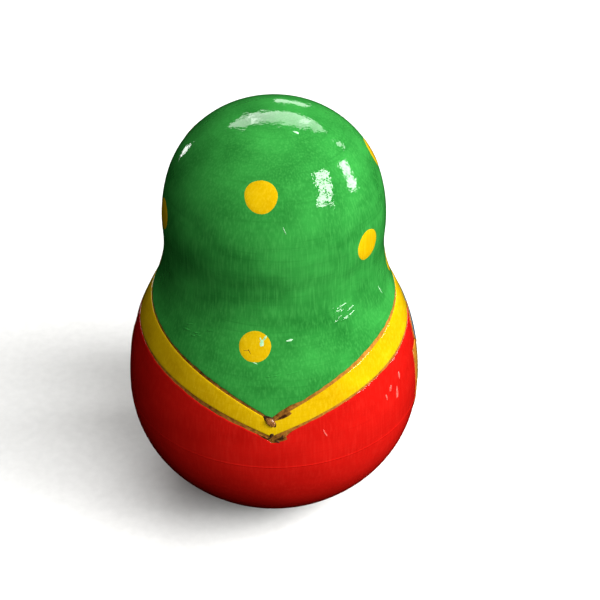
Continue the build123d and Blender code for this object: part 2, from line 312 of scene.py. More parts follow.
def coat(name, grids, material, thickness=COAT_THICKNESS):
    """One painted piece from grids of turn, arc length and lift, each a sheet on the wood.

    Points that meet, round the back or at a pole, become one. Solidify gives the sheet its
    thickness inwards. A fourth array, if a grid has one, becomes the attribute "shade".
    """
    points, quads, shades, start = [], [], [], 0
    for turn, arc, lift, *shade in grids:
        points.append(skin(turn, arc, lift).reshape(-1, 3))
        shades.append((shade[0] if shade else np.zeros(turn.shape)).ravel())
        index = start + np.arange(turn.size).reshape(turn.shape)
        corners = (index[:-1, :-1], index[:-1, 1:], index[1:, 1:], index[1:, :-1])
        quads.append(np.stack(corners, axis=-1).reshape(-1, 4))
        start += turn.size
    mesh = bpy.data.meshes.new(name)
    mesh.from_pydata(np.vstack(points).tolist(), [], np.vstack(quads).tolist())
    shade = mesh.attributes.new("shade", "FLOAT", "POINT")
    shade.data.foreach_set("value", np.concatenate(shades).astype(np.float32))
    merged = bmesh.new()
    merged.from_mesh(mesh)
    bmesh.ops.remove_doubles(merged, verts=merged.verts, dist=1e-7)
    merged.to_mesh(mesh)
    merged.free()
    mesh.shade_smooth()
    mesh.materials.append(material)
    piece = bpy.data.objects.new(name, mesh)
    bpy.context.scene.collection.objects.link(piece)
    wall = piece.modifiers.new("thickness", "SOLIDIFY")
    wall.thickness = thickness * MM
    wall.offset = -1.0
    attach(piece, "doll")


def lacquered_paint(name, dark, middle, light, rouge=None):
    """Gouache under clear lacquer.

    The wood's fibres show as fine upright streaks and the brush as fine level rings, both
    drawn about twice as coarse as they are, so that they show. The tone drifts over about
    a centimetre. The lacquer is glossy, and uneven over both about 1 mm and 5 mm. A rouge
    is rubbed in where the attribute "shade" is 0, and fades out as it goes to 1.
    """
    material, tree, place = new_material(name)
    upright = add(tree, "Mapping", {"Vector": place, "Scale": per_mm(0.5, 0.5, 7.0)})
    fibres = add(tree, "TexNoise", {"Vector": upright, "Scale": 1.0, "Detail": 3.0})
    level = add(tree, "Mapping", {"Vector": place, "Scale": per_mm(22.0, 22.0, 0.45)})
    rings = add(tree, "TexNoise", {"Vector": level, "Scale": 1.0, "Detail": 3.0})
    broad = add(tree, "Mapping", {"Vector": place, "Scale": per_mm(12.0, 12.0, 8.0)})
    drift = add(tree, "TexNoise", {"Vector": broad, "Scale": 1.0, "Detail": 4.0})
    thin = add(tree, "MapRange", {"Value": drift, "From Min": 0.25, "From Max": 0.8})
    tone = add(tree, "Mix", {"Factor": thin, "A": dark, "B": middle}, data_type="RGBA")
    streak = add(tree, "MapRange", {"Value": fibres, "From Min": 0.45, "From Max": 1.5})
    tone = add(tree, "Mix", {"Factor": streak, "A": tone, "B": light}, data_type="RGBA")
    ring = add(tree, "MapRange", {"Value": rings, "From Min": 0.55, "From Max": 1.1})
    colour = add(tree, "Mix", {"Factor": ring, "A": tone, "B": dark}, data_type="RGBA")
    if rouge:
        rubbed = add(tree, "Attribute", out="Fac", attribute_name="shade")
        fade = add(tree, "MapRange", {"Value": rubbed, "From Min": 0.15, "From Max": 0.98})
        colour = add(tree, "Mix", {"Factor": fade, "A": rouge, "B": colour}, data_type="RGBA")
    brushed = add(tree, "Bump", {"Height": fibres, "Distance": 0.02 * MM})
    brushed = add(tree, "Bump", {"Height": rings, "Distance": 0.02 * MM, "Normal": brushed})
    wide = add(tree, "Mapping", {"Vector": place, "Scale": per_mm(5.0, 5.0, 3.0)})
    waves = add(tree, "TexNoise", {"Vector": wide, "Scale": 1.0, "Detail": 1.0})
    small = add(tree, "Mapping", {"Vector": place, "Scale": per_mm(0.9, 0.9, 0.55)})
    specks = add(tree, "TexNoise", {"Vector": small, "Scale": 1.0, "Detail": 1.0})
    uneven = add(tree, "Bump", {"Height": waves, "Distance": 0.14 * MM})
    uneven = add(tree, "Bump", {"Height": specks, "Distance": 0.036 * MM, "Normal": uneven})
    sockets = {
        "Base Color": colour,
        "Roughness": 0.5,
        "IOR": 1.4,
        "Specular IOR Level": 0.0,
        "Normal": brushed,
        "Coat Weight": 1.0,
        "Coat Roughness": 0.02,
        "Coat IOR": 1.4,
        "Coat Normal": uneven,
    }
    shader = add(tree, "BsdfPrincipled", sockets)
    add(tree, "OutputMaterial", {"Surface": shader})
    return material


# The scarf's hem has two edges: the dress ends at the lower, and the scarf begins at the upper.
HEM_TIP_TURN = -1.0
HEM_LOWER = (47.2, 61.5, 77.0)  # heights in mm at the back's tip, the sides and the chin
HEM_UPPER = (52.0, 69.5, 84.0)
HEM_REACH = 50.0  # degrees over which the hem climbs most of its way


def hem_edge(turn, heights):
    """Arc length of a hem edge: a point at the back, and a steady climb to the chin.

    From the tip the height is tip + (side - tip) * (1 - exp(-a / reach)) / (1 - exp(-90 / reach)),
    where a is the turn from the tip. From the side it goes on at the same slope, plus a square.
    """
    tip, side, chin = heights
    away = np.abs((turn - HEM_TIP_TURN + 180.0) % 360.0 - 180.0)
    settle = 1.0 - np.exp(-90.0 / HEM_REACH)
    climb = (side - tip) / settle
    slope = climb * np.exp(-90.0 / HEM_REACH) / HEM_REACH
    past = np.maximum(away - 90.0, 0.0)
    square = (chin - side - 90.0 * slope) / 90.0**2
    back = tip + climb * (1.0 - np.exp(-np.minimum(away, 90.0) / HEM_REACH))
    return arc_at(back + slope * past + square * past**2)


def bulge(turn, centre, width, size):
    """A bell of a size in mm over a width in degrees, where the outline was burned wider."""
    away = (turn - centre + 180.0) % 360.0 - 180.0
    return size * np.exp(-((away / width) ** 2))


# Widths in mm of the burned lines below and above the hem, between the coats of paint.
lower_line = 0.6 + bulge(TURNS, 1.5, 3.5, 1.7) + bulge(TURNS, -18.0, 22.0, 0.65)
lower_line += wobble(TURNS, 0.22, 3)
upper_line = 0.55 + bulge(TURNS, 5.0, 5.0, 0.9) + bulge(TURNS, 45.0, 32.0, 0.5)
upper_line += bulge(TURNS, -22.0, 15.0, 0.3)
upper_line += wobble(TURNS, 0.22, 4)
hem_low = hem_edge(TURNS, HEM_LOWER)
hem_high = hem_edge(TURNS, HEM_UPPER)

DRESS_RED = lacquered_paint("red_gouache_under_lacquer", "#A60E09", "#BA140E", "#CA281E")
foot_arc = BASE_R * (np.arcsin(BARE_FOOT_R / BASE_R) - np.arcsin(FOOT_FLAT_R / BASE_R))
foot_edge = np.full(TURNS.shape, foot_arc)
seam = np.full(TURNS.shape, SEAM)
dress_top = hem_low - lower_line
ridge = 0.05 + bulge(TURNS, 30.0, 45.0, 0.06)  # how high the paint stands along the seam


def over_seam(grid):
    """The same coat with ridge * exp(-((arc - SEAM) / SEAM_BELL) ** 2) added to the lift."""
    turn, arc, lift = grid
    return turn, arc, lift + ridge * np.exp(-(((arc - SEAM) / SEAM_BELL) ** 2))


near_seam = seam - 1.0, seam + 1.0  # the rows between are fine enough for the ridge
coat(
    "dress",
    [
        over_seam(band(TURNS, foot_edge, near_seam[0], 44, cut=(True, False))),
        over_seam(band(TURNS, near_seam[0], near_seam[1], 31, cut=(False, False))),
        over_seam(band(TURNS, near_seam[1], dress_top, 36, cut=(False, True))),
    ],
    DRESS_RED,
)

# The scarf is green gouache from its hem up over the crown, and the hem is a yellow band about
# 6 mm wide. Both are brushed on by hand up to the burned lines, under the same clear lacquer.

HEM_YELLOW = lacquered_paint("yellow_gouache_under_lacquer", "#AC8602", "#C8A405", "#E2C228")
coat("scarf_hem", [band(TURNS, hem_low, hem_high, 16)], HEM_YELLOW)
SCARF_GREEN = lacquered_paint("green_gouache_under_lacquer", "#1A6423", "#318C39", "#4CA84F")
crown = np.full(TURNS.shape, OUTLINE_LENGTH)
coat("scarf", [band(TURNS, hem_high + upper_line, crown, 130, cut=(True, False))], SCARF_GREEN)

# The outlines are burned into the bare wood with a hot needle before any paint goes on, and
# lacquered with the rest. They are shallow furrows, wider where the needle stayed. Along the
# hem their colour also carries painted light and shade: lighter on the right, darker on the left.


def scorched_wood():
    """Pyrography under lacquer: orange-brown where the needle was quick, char where it stayed."""
    material, tree, place = new_material("scorched_limewood")
    small = add(tree, "Mapping", {"Vector": place, "Scale": per_mm(1.1, 1.1, 1.1)})
    uneven = add(tree, "TexNoise", {"Vector": small, "Scale": 1.0, "Detail": 5.0})
    slow = add(tree, "Attribute", out="Fac", attribute_name="shade")
    burn = add(tree, "Math", {0: uneven, 1: slow}, operation="ADD")
    charred = add(tree, "MapRange", {"Value": burn, "From Min": 0.4, "From Max": 1.2})
    colours = {"Factor": charred, "A": "#B0732A", "B": "#31190B"}
    colour = add(tree, "Mix", colours, data_type="RGBA")
    sockets = {
        "Base Color": colour,
        "Roughness": 0.5,
        "Specular IOR Level": 0.0,
        "Normal": add(tree, "Bump", {"Height": uneven, "Distance": 0.06 * MM}),
        "Coat Weight": 0.8,
        "Coat Roughness": 0.1,
        "Coat IOR": 1.3,
        "Coat Normal": add(tree, "Bump", {"Height": uneven, "Distance": 0.05 * MM}),
    }
    shader = add(tree, "BsdfPrincipled", sockets)
    add(tree, "OutputMaterial", {"Surface": shader})
    return material


SCORCH = scorched_wood()
GROOVE = (0.1, 0.05)  # lift of a burned line's sides and of its bottom, in mm


def groove(turn, low, high, shade):
    """A burned line between two arc lengths, hollow across its width."""
    across = np.linspace(0.0, 1.0, 7)[:, None]
    side, bottom = GROOVE
    lift = side + (bottom - side) * 4 * across * (1 - across) + 0 * low
    return turn + 0 * lift, low + (high - low) * across, lift, shade + 0 * lift


BURNED_THICKNESS = 0.06
lap = 0.35  # how far a line runs under the paint on each side, in mm
# Painted light and shade in the burn: lighter on the right and darker on the left; the point of the
# hem is darker where the needle stayed.
shade = 0.3 + bulge(TURNS, 0.0, 9.0, 0.2) - bulge(TURNS, 50.0, 30.0, 0.25)
shade += bulge(TURNS, -40.0, 25.0, 0.2)
above_hem = groove(TURNS, hem_high - lap, hem_high + upper_line + lap, shade)
coat("burned_line_above_hem", [above_hem], SCORCH, BURNED_THICKNESS)
# Painted shade in the burn: darker on the left; the point is darker where the needle stayed.
shade = 0.2 + bulge(TURNS, 0.0, 8.0, 0.25) + bulge(TURNS, -25.0, 12.0, 0.25)
below_hem = groove(TURNS, dress_top - lap, hem_low + lap, shade)
coat("burned_line_below_hem", [below_hem], SCORCH, BURNED_THICKNESS)

# The dots are yellow, stamped with the end of a round stick dipped in paint, so each is a
# slightly domed disc with a wavering rim.

SECOND_COAT = 0.32  # top of what is painted over the first coat, in mm
DOT_R = 4.6
# The turn and height of each dot's middle.
DOTS = [(-7.7, 113.6), (54.5, 94.6), (-77.5, 97.4), (-8.7, 71.6), (99.0, 110.5)]
DOTS += [(125.0, 92.0), (-128.0, 92.0), (-120.0, 112.5), (95.0, 77.5), (-100.0, 77.0)]
SPOT_RINGS = np.array([0.0, 0.3, 0.55, 0.75, 0.88, 0.95, 0.985, 1.0])[:, None]


def beside(turn, arc, right, rise):
    """Turn and arc length of places some mm to the right of a place and above it."""
    arcs = arc + rise
    return turn + np.degrees(right / np.maximum(on_outline(arcs)[0], 1.0)), arcs


def spot(
    turn, arc, wide, tall, tilt=0.0, top=SECOND_COAT, sunk=COAT - 0.05, uneven=0.0, seed=0, square=8
):
    """A patch round a centre: an ellipse of two half-widths in mm, leaning by tilt degrees.

    The rim is 1 + the sum of uneven * sin(k t + phase) / k, and the lift falls from top at
    the middle to sunk at the rim as 1 - share ** square.
    """
    angle = np.linspace(2 * np.pi, 0.0, 65)
    phases = np.random.default_rng(seed).uniform(0.0, 2 * np.pi, 4)
    rim = 1.0 + sum(uneven * np.sin(k * angle + p) / k for k, p in zip((2, 3, 5, 9), phases))
    lean = np.radians(tilt)
    across, up = wide * np.cos(angle) * rim, tall * np.sin(angle) * rim
    right = SPOT_RINGS * (across * np.cos(lean) - up * np.sin(lean))
    rise = SPOT_RINGS * (across * np.sin(lean) + up * np.cos(lean))
    turns, arcs = beside(turn, arc, right, rise)
    lift = sunk + (top - sunk) * (1.0 - SPOT_RINGS**square) + 0 * right
    return turns, arcs, lift, SPOT_RINGS + 0 * right


for number, (turn, height) in enumerate(DOTS, start=1):
    dot = spot(turn, arc_at(height), DOT_R, DOT_R, uneven=0.03, seed=number)
    coat(f"scarf_dot_{number}", [dot], HEM_YELLOW)

# At the point of the hem the needle lifted a sliver of wood, which the lacquer sealed, and
# below it the needle stayed too long and left charred pits.


def laid_bare(name, grain, detail, clear, colours, relief, finish):
    """Wood or ground with no paint on it, mottled by one noise that also roughens it.

    The grain is the noise's sizes in mm, clear is where its two colours part, and the relief
    is the bump's height in mm.
    """
    material, tree, place = new_material(name)
    scaled = add(tree, "Mapping", {"Vector": place, "Scale": per_mm(*grain)})
    noise = add(tree, "TexNoise", {"Vector": scaled, "Scale": 1.0, "Detail": detail})
    parted = {"Value": noise, "From Min": clear[0], "From Max": clear[1]}
    mottle = {"Factor": add(tree, "MapRange", parted), "A": colours[0], "B": colours[1]}
    sockets = {
        "Base Color": add(tree, "Mix", mottle, data_type="RGBA"),
        "Normal": add(tree, "Bump", {"Height": noise, "Distance": relief * MM}),
    }
    shader = add(tree, "BsdfPrincipled", sockets | finish)
    add(tree, "OutputMaterial", {"Surface": shader})
    return material


# Limewood browned by the needle and sealed by the lacquer: glossy, with fibres along it.
LACQUERED = {"Roughness": 0.35, "Coat Weight": 1.0, "Coat Roughness": 0.08}
BROWNED = ("#44240F", "#A06A34")
SLIVER = laid_bare(
    "browned_wood_sliver", (0.25, 0.25, 1.5), 4.0, (0.35, 0.65), BROWNED, 0.08, LACQUERED
)
upper_sliver = spot(-1.2, arc_at(51.7), 1.75, 1.0, tilt=-42, top=1.0, uneven=0.12, seed=21)
coat("lifted_sliver", [upper_sliver], SLIVER)

# Charred limewood: near black, dull and cracked.
BLACKENED = ("#1C100A", "#4A2A14")
DULL = {"Roughness": 0.6}
CHAR = laid_bare("charred_wood", (0.3, 0.3, 0.3), 5.0, (0.4, 0.7), BLACKENED, 0.1, DULL)
pits = [
    spot(-1.4, arc_at(51.9), 2.2, 1.25, tilt=-42, top=0.27, uneven=0.15, seed=24),
    spot(-0.9, arc_at(47.6), 0.85, 0.45, tilt=70, top=0.31, uneven=0.25, seed=23),
    spot(-2.0, arc_at(46.6), 0.5, 0.3, tilt=20, top=0.31, uneven=0.3, seed=25),
    spot(2.9, arc_at(47.0), 0.7, 0.28, tilt=50, top=0.31, uneven=0.3, seed=26),
    spot(1.3, arc_at(45.6), 0.75, 0.25, tilt=-20, top=0.31, uneven=0.3, seed=27),
]
coat("charred_pits", pits, CHAR)

# Knocks have chipped the paint here and there. On the scarf and its dots the pale green
# ground shows, and on the dress the pinkish ground. Two pale green marks on the scarf are
# painted light, not chips: a painted glint along the lower rim of a dot, and a small patch
# of painted sky reflection on the crown.

GREEN_CHIPS_AND_GLINTS = [  # turn, height, half-width, half-height in mm and tilt
    # painted reflection: a small pale patch of sky on the crown, not a chip
    (31.3, 124.1, 1.0, 0.32, -48),
    (7.3, 73.3, 1.0, 0.3, 6),
    (-5.6, 72.6, 0.9, 1.1, 0),
    (-4.4, 73.9, 0.35, 1.0, -38),
    (-6.3, 73.7, 0.25, 0.6, 15),
    # painted glint: a thin pale line along the lower rim of the fourth dot, not a chip
    (-8.2, 67.5, 0.7, 0.14, -12),
    (66.0, 76.5, 0.16, 1.6, 24),
    (5.4, 105.8, 0.1, 1.0, 22),
]
RED_CHIPS = [
    (19.7, 46.6, 0.25, 1.2, 24),
    (52.5, 51.2, 0.55, 0.9, -10),
    (56.5, 48.2, 0.6, 1.7, -6),
    (49.5, 49.5, 0.3, 1.0, 8),
    (59.5, 52.6, 0.35, 1.3, 4),
]
for name, chips, colours in (
    ("chips_and_glints_on_scarf", GREEN_CHIPS_AND_GLINTS, ("#7DB884", "#B4D8B4")),
    ("chips_on_dress", RED_CHIPS, ("#CC3A30", "#DE6A60")),
):
    grids = [
        spot(turn, arc_at(height), wide, tall, tilt, top=0.33, uneven=0.3, seed=40 + number)
        for number, (turn, height, wide, tall, tilt) in enumerate(chips)
    ]
    # Chalk ground, tinted by the paint that was over it: dull and uneven, with a torn edge.
    # On the scarf the same pale green also paints a glint and a patch of reflection.
    grain, clear, chalky = (0.6, 0.6, 0.6), (0.35, 0.65), {"Roughness": 0.55}
    ground = laid_bare(f"ground_of_{name}", grain, 4.0, clear, colours, 0.04, chalky)
    coat(name, grids, ground)

dents = [
    spot(-11.0, arc_at(70.2), 0.12, 1.0, tilt=30, top=0.34, seed=52),
    spot(-12.5, arc_at(70.4), 1.0, 0.1, tilt=8, top=0.34, seed=53),
]
coat("scratches", dents, SCORCH)

# Beside the point of the hem the hot needle slipped, and browned the wood more widely. Each
# stain is darkest in the middle, and lies under the lacquer.

stains = [
    spot(3.6, arc_at(53.4), 2.6, 0.75, tilt=27, top=0.27, uneven=0.2, seed=61),
    spot(2.3, arc_at(46.4), 2.3, 0.75, tilt=14, top=0.27, uneven=0.2, seed=62),
    spot(-3.6, arc_at(47.0), 2.1, 0.35, tilt=-27, top=0.26, uneven=0.2, seed=63),
]
stains = [(turn, arc, lift, 0.35 + 0.45 * (1.0 - rings)) for turn, arc, lift, rings in stains]
coat("burn_stains", stains, SCORCH)

# The face is painted in flesh colour over the scarf, inside a burned outline. It is a plain
# doll's face: parted hair, brows, eyes, a hint of a nose, lips and rouged cheeks.

FRONT = 172.0  # the face's turn from the middle of the back
FACE_ARC = arc_at(104.2)
FACE_WIDE, FACE_TALL = 15.5, 13.4
THIRD_COAT = 0.38
FOURTH_COAT = 0.44


def bezier(points, count):
    """Points along a Bezier curve: the sum of binomial(n, k) t^k (1 - t)^(n - k) P_k."""
    points = np.array(points, float)
    t = np.linspace(0.0, 1.0, count)[:, None]
    while len(points) > 1:
        if points.ndim == 2:
            points = points[:, None, :] + 0 * t
        points = points[:-1] * (1 - t) + points[1:] * t
    return points[0].T


def stroke(turn, arc, half_width, top, sunk=None, shade=0.0):
    """A brush stroke or burned line along a path, domed across.

    The path is offset sideways by c times the half-width, c from -1 to 1, and the lift is
    sunk + (top - sunk) * sqrt(1 - c ** 4).
    """
    sunk = top - 0.12 if sunk is None else sunk
    radius = np.maximum(on_outline(arc)[0], 1.0)
    right, rise = np.gradient(np.radians(turn)) * radius, np.gradient(arc)
    length = np.maximum(np.hypot(right, rise), 1e-9)
    across = np.linspace(-1.0, 1.0, 7)[:, None]
    shift = half_width * across
    turns = turn + np.degrees(-rise / length * shift / radius)
    lift = sunk + (top - sunk) * np.sqrt(1.0 - across**4) + 0 * turns
    return turns, arc + right / length * shift, lift, shade + 0 * turns


def taper(count):
    """A width along a stroke that swells to 1 in the middle: 0.15 + 0.85 * sqrt(sin(pi t))."""
    return 0.15 + 0.85 * np.sqrt(np.sin(np.pi * np.linspace(0.0, 1.0, count)))


def dab(right, rise, wide, tall, top, sunk, tilt=0.0):
    """A spot on the face, at a place in mm from its middle."""
    return spot(*beside(FRONT, FACE_ARC, right, rise), wide, tall, tilt, top, sunk)


def fine_line(points, half_width, top, count=49):
    """A tapered stroke on the face, through control points in mm from its middle."""
    right, rise = bezier(points, count)
    return stroke(*beside(FRONT, FACE_ARC, right, rise), half_width * taper(count), top)


def burned_ring(turn, arc, wide, tall, half_width, top, sunk, tilt=0.0):
    """A burned line round an ellipse, closed on itself."""
    angle, lean = np.linspace(0.0, 2 * np.pi, 97), np.radians(tilt)
    across, up = wide * np.cos(angle), tall * np.sin(angle)
    right = across * np.cos(lean) - up * np.sin(lean)
    rise = across * np.sin(lean) + up * np.cos(lean)
    return stroke(*beside(turn, arc, right, rise), half_width, top, sunk, shade=0.3)


FLESH_TONES = ("#DDAA86", "#E8BC9A", "#EFC9AA")
FLESH = lacquered_paint("flesh_gouache_under_lacquer", *FLESH_TONES)
ROUGED_FLESH = lacquered_paint("rouged_flesh_paint", *FLESH_TONES, rouge="#D8705C")
HAIR_BROWN = lacquered_paint("brown_gouache_under_lacquer", "#5A3013", "#6E3F1A", "#8A5828")
INK = lacquered_paint("dark_brown_fine_line_paint", "#2A1710", "#331D13", "#3E261A")
WHITE = lacquered_paint("white_gouache_under_lacquer", "#DDD8CA", "#E9E5DA", "#F2EFE6")
BLUE_GREY = lacquered_paint("blue_grey_gouache_under_lacquer", "#3E5A6E", "#4C6C82", "#658599")
LIP_RED = lacquered_paint("lip_red_gouache_under_lacquer", "#A81418", "#B81C1E", "#C4302C")

coat("face", [spot(FRONT, FACE_ARC, FACE_WIDE, FACE_TALL, square=80)], FLESH)

# The hair lies between a hairline with a peak in the middle and the face's rim.
x = np.linspace(-0.985, 0.985, 121) * FACE_WIDE
hairline = 8.0 + 3.4 * np.exp(-((x / 2.0) ** 2)) - 12.5 * np.abs(x / FACE_WIDE) ** 3
brim = FACE_TALL * np.sqrt(1.0 - (x / FACE_WIDE) ** 2)
low = np.maximum(hairline, -brim)
rise = low + np.linspace(0.0, 1.0, 13)[:, None] * (brim - low)
turns, arcs = beside(FRONT, FACE_ARC, x + 0 * rise, rise)
lift = round_off(np.minimum(rise - rise[0], brim - rise), SECOND_COAT - 0.03, THIRD_COAT, 0.5)
coat("hair", [(turns, arcs, lift)], HAIR_BROWN)

strands = []
for side in (-1, 1):
    for number in range(5):
        out = 3.0 + 2.3 * number
        fall = [
            (side * 0.6, 12.4 - 0.35 * number),
            (side * out, 12.6 - 0.5 * number),
            (side * (out + 2.0), 8.6 - 1.2 * number),
        ]
        strands.append(fine_line(fall, 0.16, THIRD_COAT + 0.03))
coat("hair_strands", strands, INK)

EYE_RIGHT = 5.4
OVER_FACE = (THIRD_COAT, SECOND_COAT - 0.02)  # top and sunk of paint straight on the flesh
cheeks, whites, irises, pupils, glints, dark_lines, lips = [], [], [], [], [], [], []
for side in (-1, 1):
    eye = side * EYE_RIGHT
    cheeks.append(dab(side * 9.0, -4.0, 3.4, 3.0, *OVER_FACE))
    whites.append(dab(eye, 0.4, 2.7, 1.55, *OVER_FACE))
    irises.append(dab(eye, 0.5, 1.3, 1.4, FOURTH_COAT, THIRD_COAT - 0.03))
    pupils.append(dab(eye, 0.5, 0.62, 0.68, 0.49, 0.41))
    glints.append(dab(eye + 0.45, 0.95, 0.24, 0.24, 0.53, 0.46))
    lid = [(eye - 3.1, 0.2), (eye - 1.6, 2.9), (eye + 1.6, 2.9), (eye + 3.1, 0.2)]
    dark_lines.append(fine_line(lid, 0.3, 0.5))
    under = [(eye - 2.4, -0.7), (eye, -1.9), (eye + 2.4, -0.7)]
    dark_lines.append(fine_line(under, 0.13, 0.46))
    brow = [(side * 2.6, 4.2), (side * 5.2, 6.4), (side * 8.8, 3.9)]
    dark_lines.append(fine_line(brow, 0.34, 0.46))
    for out in (1.9, 2.5, 3.0):
        rise = 4.1 - out
        lash = [(eye + side * (out - 0.5), rise), (eye + side * (out + 0.7), rise + 0.9)]
        dark_lines.append(fine_line(lash, 0.13, 0.47, 13))
    nostril = [(side * 0.5, -3.3), (side * 0.8, -3.7), (side * 1.2, -3.3)]
    dark_lines.append(fine_line(nostril, 0.13, 0.42, 13))
    lips.append(dab(side * 0.95, -6.9, 1.25, 0.6, 0.4, 0.3, tilt=-14 * side))
lips.append(dab(0.0, -7.6, 1.6, 0.75, 0.41, 0.3))
coat("cheeks", cheeks, ROUGED_FLESH)
coat("eye_whites", whites, WHITE)
coat("irises", irises, BLUE_GREY)
coat("pupils", pupils, INK)
coat("eye_glints", glints, WHITE)
coat("brows_and_lashes", dark_lines, INK)
coat("lips", lips, LIP_RED)
face_rim = burned_ring(FRONT, FACE_ARC, FACE_WIDE, FACE_TALL, 0.5, 0.4, 0.2)
coat("burned_line_round_face", [face_rim], SCORCH)

# On the cape the brush left ridges of thick paint, which catch the light. Each is steep below
# and slopes gently above, because the brush was drawn downwards.

CREST = -2 / 3  # where the highest line lies across a ridge, from -1 below to 1 above
RIDGE_HALF, RIDGE_HEIGHT = 0.27, 0.21  # in mm, so the upper side slopes at about 25 degrees
RIDGE_FOOT = 0.18  # a ridge's foot, inside the green
across = np.linspace(-1.0, 1.0, 7)[:, None]
profile = np.minimum((across + 1.0) / (CREST + 1.0), (1.0 - across) / (1.0 - CREST))
dice = np.random.default_rng(71)
ridges = []
for centre_turn, centre_height, count in ((34.5, 77.8, 16), (2.0, 66.0, 5), (-38.0, 72.0, 6)):
    for _ in range(count):
        right, rise, half, slope = dice.uniform((-4.0, -2.2, 0.9, 0.1), (4.0, 2.2, 2.2, 0.45))
        along = np.linspace(-half, half, 25)
        path = beside(centre_turn, arc_at(centre_height), right + along, rise + slope * along)
        turns, arcs, _, shade = stroke(*path, RIDGE_HALF * taper(25), COAT)
        heights = RIDGE_FOOT + RIDGE_HEIGHT * profile * taper(25)
        ridges.append((turns, arcs, heights, shade))
coat("brush_ridges", ridges, SCARF_GREEN)

# The scarf is tied under the chin. The knot, its two loops and its two ends are painted green,
# with yellow hems, each inside a burned outline.

KNOT_ARC = arc_at(84.0)
KNOT_WIDE, KNOT_TALL = 3.3, 2.9
ends_yellow, ends_green, knot_lines = [], [], []
for side in (-1, 1):
    for right, rise, wide, tall, tilt in ((8.4, -5.6, 8.2, 3.5, -36), (6.6, 1.6, 4.6, 2.3, 14)):
        middle = beside(FRONT, KNOT_ARC, side * right, rise)
        lean = side * tilt
        ends_yellow.append(spot(*middle, wide, tall, lean, top=THIRD_COAT))
        ends_green.append(spot(*middle, wide - 1.3, tall - 1.1, lean, top=FOURTH_COAT, sunk=0.33))
        knot_lines.append(burned_ring(*middle, wide, tall, 0.35, 0.42, 0.22, lean))
knot = beside(FRONT, KNOT_ARC, 0.0, -0.6)
ends_green.append(spot(*knot, KNOT_WIDE, KNOT_TALL, top=0.8, sunk=0.3))
knot_lines.append(burned_ring(*knot, KNOT_WIDE, KNOT_TALL, 0.35, 0.5, 0.22))
coat("scarf_ends_hem", ends_yellow, HEM_YELLOW)
coat("scarf_ends", ends_green, SCARF_GREEN)
coat("burned_lines_round_knot", knot_lines, SCORCH)

# The apron is ochre and goes nearly halfway round. Its outline is burned into the wood, and
# it is strewn with plain five-petalled flowers and leaves.

APRON_REACH = 94.5  # degrees each way from the front
APRON_TOP, APRON_BOTTOM = 53.0, 15.0
APRON_SQUARENESS = 3.5
OCHRE = lacquered_paint("ochre_gouache_under_lacquer", "#A8701E", "#BC8226", "#CC9638")


def apron_edge(away):
    """Height of the apron's lower edge, a superellipse, at a turn from the front."""
    inside = 1.0 - np.abs(away / APRON_REACH) ** APRON_SQUARENESS
    depth = np.clip(inside, 0.0, 1.0) ** (1.0 / APRON_SQUARENESS)
    return APRON_TOP - (APRON_TOP - APRON_BOTTOM) * depth


away = APRON_REACH * np.sin(np.linspace(-0.498, 0.498, 181) * np.pi)
apron_low = arc_at(apron_edge(away))
apron_high = np.full(away.shape, arc_at(APRON_TOP))
apron = band(FRONT + away, apron_low, apron_high, 44, top=SECOND_COAT, cut=(False, False))
coat("apron", [apron], OCHRE)
t = np.linspace(-1.0, 1.0, 241) * np.pi / 2
power = 2.0 / APRON_SQUARENESS
path_turn = FRONT + APRON_REACH * np.sign(t) * np.abs(np.sin(t)) ** power
path_height = APRON_TOP - (APRON_TOP - APRON_BOTTOM) * np.cos(t) ** power
apron_line = stroke(path_turn, arc_at(path_height), 0.6, 0.4, 0.2, shade=0.15)
coat("burned_line_round_apron", [apron_line], SCORCH)

FLOWERS = [  # turn from the front, height, petal length in mm, and petal colour
    (0.0, 33.0, 4.6, "red"),
    (-32.0, 40.0, 3.6, "blue"),
    (33.0, 39.0, 3.6, "blue"),
    (-58.0, 33.0, 3.9, "red"),
    (59.0, 34.0, 3.9, "red"),
    (-82.0, 43.0, 2.8, "white"),
    (82.0, 43.0, 2.8, "white"),
    (-29.0, 25.5, 3.0, "white"),
    (28.0, 25.0, 3.0, "white"),
]


def petals_round(turn, arc, size, angles, wide, narrow, **paint):
    """Spots that point outwards from a flower's middle, one at each angle.

    Their middles lie 0.62 of the size out, and wide and narrow are shares of the size.
    """
    grids = []
    for number, angle in enumerate(angles):
        way = np.radians(angle)
        middle = beside(turn, arc, 0.62 * size * np.cos(way), 0.62 * size * np.sin(way))
        grids.append(spot(*middle, wide * size, narrow * size, angle, seed=number, **paint))
    return grids


on_apron = {"top": THIRD_COAT, "sunk": 0.27}
petals, hearts, leaves = {"red": [], "blue": [], "white": []}, [], []
for number, (away, height, size, colour) in enumerate(FLOWERS):
    middle = FRONT + away, arc_at(height)
    angles = 90.0 + 11.0 * number + 72.0 * np.arange(5)
    petals[colour] += petals_round(*middle, size, angles, 0.52, 0.36, uneven=0.06, **on_apron)
    hearts.append(spot(*middle, 0.27 * size, 0.27 * size, top=0.46, sunk=0.3))
    for angle in (-142.0, -38.0):
        way = np.radians(angle)
        leaf = beside(*middle, 1.55 * size * np.cos(way), 1.55 * size * np.sin(way))
        shape = 0.62 * size, 0.24 * size, angle
        leaves.append(spot(*leaf, *shape, uneven=0.05, seed=number, **on_apron))
for colour, material in (("red", DRESS_RED), ("blue", BLUE_GREY), ("white", WHITE)):
    coat(f"apron_petals_{colour}", petals[colour], material)
BORDER_R, BORDER_INSET = 0.75, 3.2
border = []
for away in 0.955 * APRON_REACH * np.linspace(-0.93, 0.93, 33):
    centre = beside(FRONT + away, arc_at(apron_edge(away)), 0.0, BORDER_INSET)
    border.append(spot(*centre, BORDER_R, BORDER_R, **on_apron))
coat("apron_border", border, WHITE)
coat("apron_flower_hearts", hearts, HEM_YELLOW)
